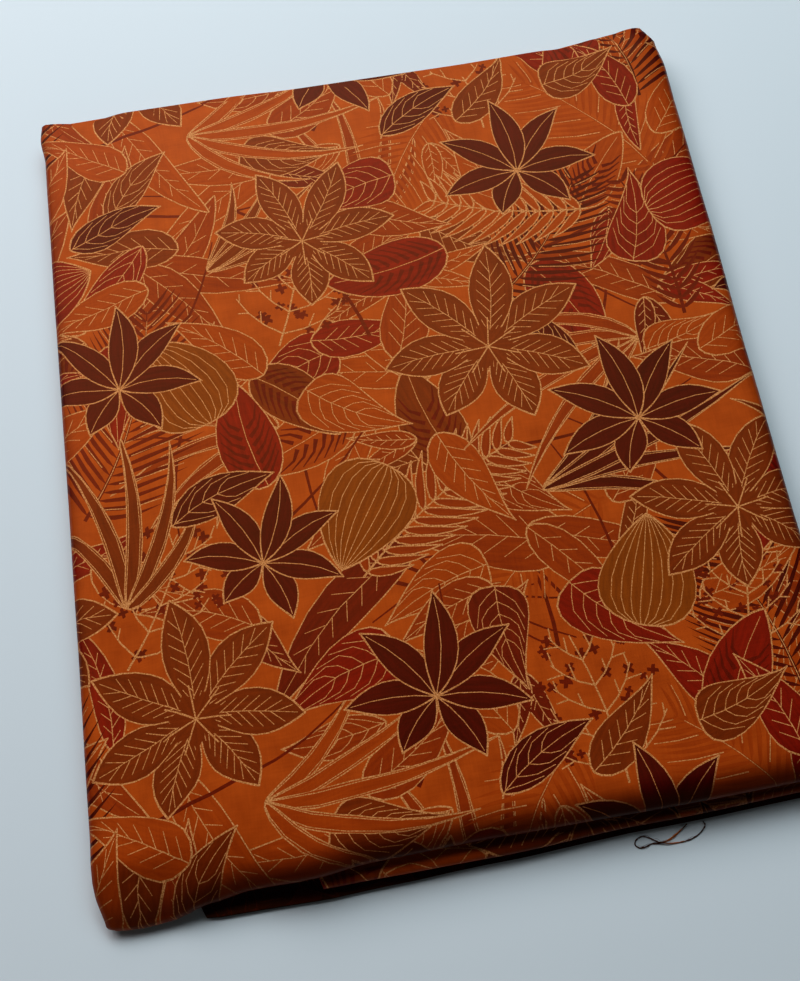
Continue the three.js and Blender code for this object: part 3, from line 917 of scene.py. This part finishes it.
# the loose thread at the front edge
thread = {"diameter": 0.5, "frayAt": (67.0, -180.0, 0.4), "frayReach": 4, "fibres": 26, "fibreWidth": 0.07,
          "plies": 2, "plyDepth": 0.16, "grain": 0.25, "seed": 4, "dark": "#2a120a", "light": "#5c2c14",
          "frayed": "#b4622c", "roughness": 0.8, "gloss": 0.15, "route": [
    (72.6, -176.7, 1.00), (70.6, -178.0, .62), (67.5, -179.8, .26), (64.6, -181.2, .26),
    (61.4, -181.7, .26), (58.4, -181.5, .26), (55.6, -182.2, .26), (53.3, -182.0, .26),
    (52.2, -180.6, .26), (53.2, -179.0, .26), (55.4, -178.3, .26), (57.5, -179.0, .30),
    (59.3, -180.3, .62), (61.2, -181.5, .86), (63.8, -182.3, .74), (66.6, -182.6, .36),
    (69.8, -182.6, .26), (73.0, -182.2, .26), (76.0, -181.0, .26), (78.2, -179.4, .26),
    (79.2, -178.0, .50), (78.6, -176.8, .90)]}


def smoothRoute(route, steps):
    # a smooth curve through the route's points
    knots = np.array(route, float)
    knots = np.vstack([2 * knots[0] - knots[1], knots, 2 * knots[-1] - knots[-2]])
    line = []
    for a, b, c, d in zip(knots, knots[1:], knots[2:], knots[3:]):
        for t in np.arange(steps) / steps:
            line.append(0.5 * (2 * b + (c - a) * t + (2 * a - 5 * b + 4 * c - d) * t ** 2
                               + (3 * b - a - 3 * c + d) * t ** 3))
    return np.array(line + [knots[-2]])


def tube(bm, line, radii, sides, plies=0, turnsPerStep=0.0):
    # a closed tube along a line, its section a circle or a few plies that wind round each other
    ways = unit(np.gradient(line, axis=0))
    across = unit(np.cross(ways, (0.05, 0.02, 1.0)))
    up = np.cross(across, ways)
    angles = np.linspace(0, 2 * math.pi, sides, endpoint=False)
    rings = []
    for k, centre in enumerate(line):
        wound = np.ones(sides)
        if plies:
            wound += thread["plyDepth"] * np.cos(plies * (angles - turnsPerStep * k * 2 * math.pi))
        around = np.cos(angles)[:, None] * across[k] + np.sin(angles)[:, None] * up[k]
        ring = centre + radii[k] * wound[:, None] * around
        rings.append([bm.verts.new(place) for place in ring])
    for a, b in zip(rings, rings[1:]):
        for i in range(sides):
            bm.faces.new((a[i - 1], a[i], b[i], b[i - 1]))
    bm.faces.new(rings[0])
    bm.faces.new(rings[-1][::-1])
    bmesh.ops.recalc_face_normals(bm, faces=bm.faces[:])


def finishThread(name, bm):
    mesh = bpy.data.meshes.new(name)
    bm.to_mesh(mesh)
    bm.free()
    mesh.polygons.foreach_set("use_smooth", np.ones(len(mesh.polygons), bool))
    obj = bpy.data.objects.new(name, mesh)
    scene.collection.objects.link(obj)
    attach(obj, "root")
    return obj


def threadMaterial():
    # dark twisted silk with a frayed stretch where the paler fibres show
    material, tree, shader = newMaterial("twisted silk thread")
    place = addNode(tree, "TexCoord").outputs["Object"]
    grain = addNode(tree, "TexNoise", {"Vector": place, "Scale": 1 / (thread["grain"] * mm), "Detail": 2.0})
    fibres = grain.outputs["Fac"]
    frayed = addNode(tree, "VectorMath", {0: place, 1: [c * mm for c in thread["frayAt"]]},
                     operation="DISTANCE")
    near = addNode(tree, "MapRange", {"Value": frayed.outputs["Value"], "From Min": 2.0 * mm,
                                      "From Max": 5.0 * mm, "To Min": 1.0, "To Max": 0.0})
    dark = addNode(tree, "Mix", {0: fibres, 6: colour(thread["dark"]), 7: colour(thread["light"])},
                   data_type="RGBA")
    pale = addNode(tree, "Mix", {0: near.outputs[0], 6: dark.outputs[2], 7: colour(thread["frayed"])},
                   data_type="RGBA")
    tree.links.new(pale.outputs[2], shader.inputs["Base Color"])
    shader.inputs["Roughness"].default_value = thread["roughness"]
    shader.inputs["Specular IOR Level"].default_value = thread["gloss"]
    return material


def makeThread():
    line = smoothRoute(thread["route"], 8) * mm
    fromFray = np.linalg.norm(line - np.array(thread["frayAt"]) * mm, axis=1)
    frayed = np.clip(1 - fromFray / (thread["frayReach"] * mm), 0, 1)
    steps = np.arange(len(line))
    frayed[steps > len(line) // 3] = 0      # only where the thread first passes there
    radii = thread["diameter"] / 2 * mm * (0.86 + 0.1 * np.sin(steps * 0.9) + 0.45 * ease(frayed))
    line[:, 2] = np.maximum(line[:, 2], (1 + thread["plyDepth"]) * radii)      # it lies on the table
    bm = bmesh.new()
    tube(bm, line, radii, 8, plies=thread["plies"], turnsPerStep=0.09)
    obj = finishThread("loose_silk_thread", bm)
    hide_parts("loose_thread")
    # loose fibres stand off the thread, most of them at the frayed stretch
    luck = np.random.default_rng(thread["seed"])
    bm = bmesh.new()
    for k in range(thread["fibres"]):
        start = int(luck.integers(6, len(line) // 3)) if k % 3 else int(luck.integers(6, len(line) - 24))
        run = line[start:start + int(luck.integers(9, 18))]
        away = (luck.random(3) - 0.5) * [1.6, 1.6, 0.3] * mm
        bow = np.sin(np.linspace(0, math.pi, len(run)))[:, None]
        fibre = run + bow * away
        fibre[:, 2] = np.maximum(fibre[:, 2], 0.06 * mm)
        tube(bm, fibre, np.full(len(run), thread["fibreWidth"] / 2 * mm), 4)
    fibres = finishThread("thread_fibres", bm)
    material = threadMaterial()
    obj.data.materials.append(material)
    fibres.data.materials.append(material)


makeThread()


# floor and light
room = {"floorSize": 3, "floor": "#d3d6d9", "floorRoughness": 0.7, "air": "#b0d4e0", "airStrength": 0.015}


def makeFloor():
    mesh = bpy.data.meshes.new("floor")
    bm = bmesh.new()
    bmesh.ops.create_grid(bm, x_segments=1, y_segments=1, size=room["floorSize"])
    bm.to_mesh(mesh)
    bm.free()
    obj = bpy.data.objects.new("floor", mesh)
    scene.collection.objects.link(obj)
    material, tree, shader = newMaterial("matt pale table top")
    shader.inputs["Base Color"].default_value = colour(room["floor"])
    shader.inputs["Roughness"].default_value = room["floorRoughness"]
    mesh.materials.append(material)


def makeLight(name, place, target, size, power, tint):
    data = bpy.data.lights.new(name, "AREA")
    data.shape = "RECTANGLE"
    data.size, data.size_y = size
    data.energy = power
    data.color = colour(tint)[:3]
    obj = bpy.data.objects.new(name, data)
    scene.collection.objects.link(obj)
    obj.location = place
    obj.rotation_euler = (Vector(target) - Vector(place)).to_track_quat("-Z", "Y").to_euler()


makeFloor()
makeLight("window", (-0.45, 0.95, 1.15), (0, 0.05, 0), (1.7, 1.2), 23, "#fbfcff")
makeLight("ceiling", (0.35, 0.8, 1.2), (0, 0.2, 0), (1.2, 0.8), 7.5, "#c8ecf6")
makeLight("far wall", (0.05, -1.0, 0.45), (0, -0.15, 0), (1.2, 0.6), 0.7, "#f0eeea")
world = bpy.data.worlds.new("room")
world.use_nodes = True
background = world.node_tree.nodes["Background"]
background.inputs["Color"].default_value = colour(room["air"])
background.inputs["Strength"].default_value = room["airStrength"]
scene.world = world
print("floor and lights set")

bpy.context.view_layer.update()
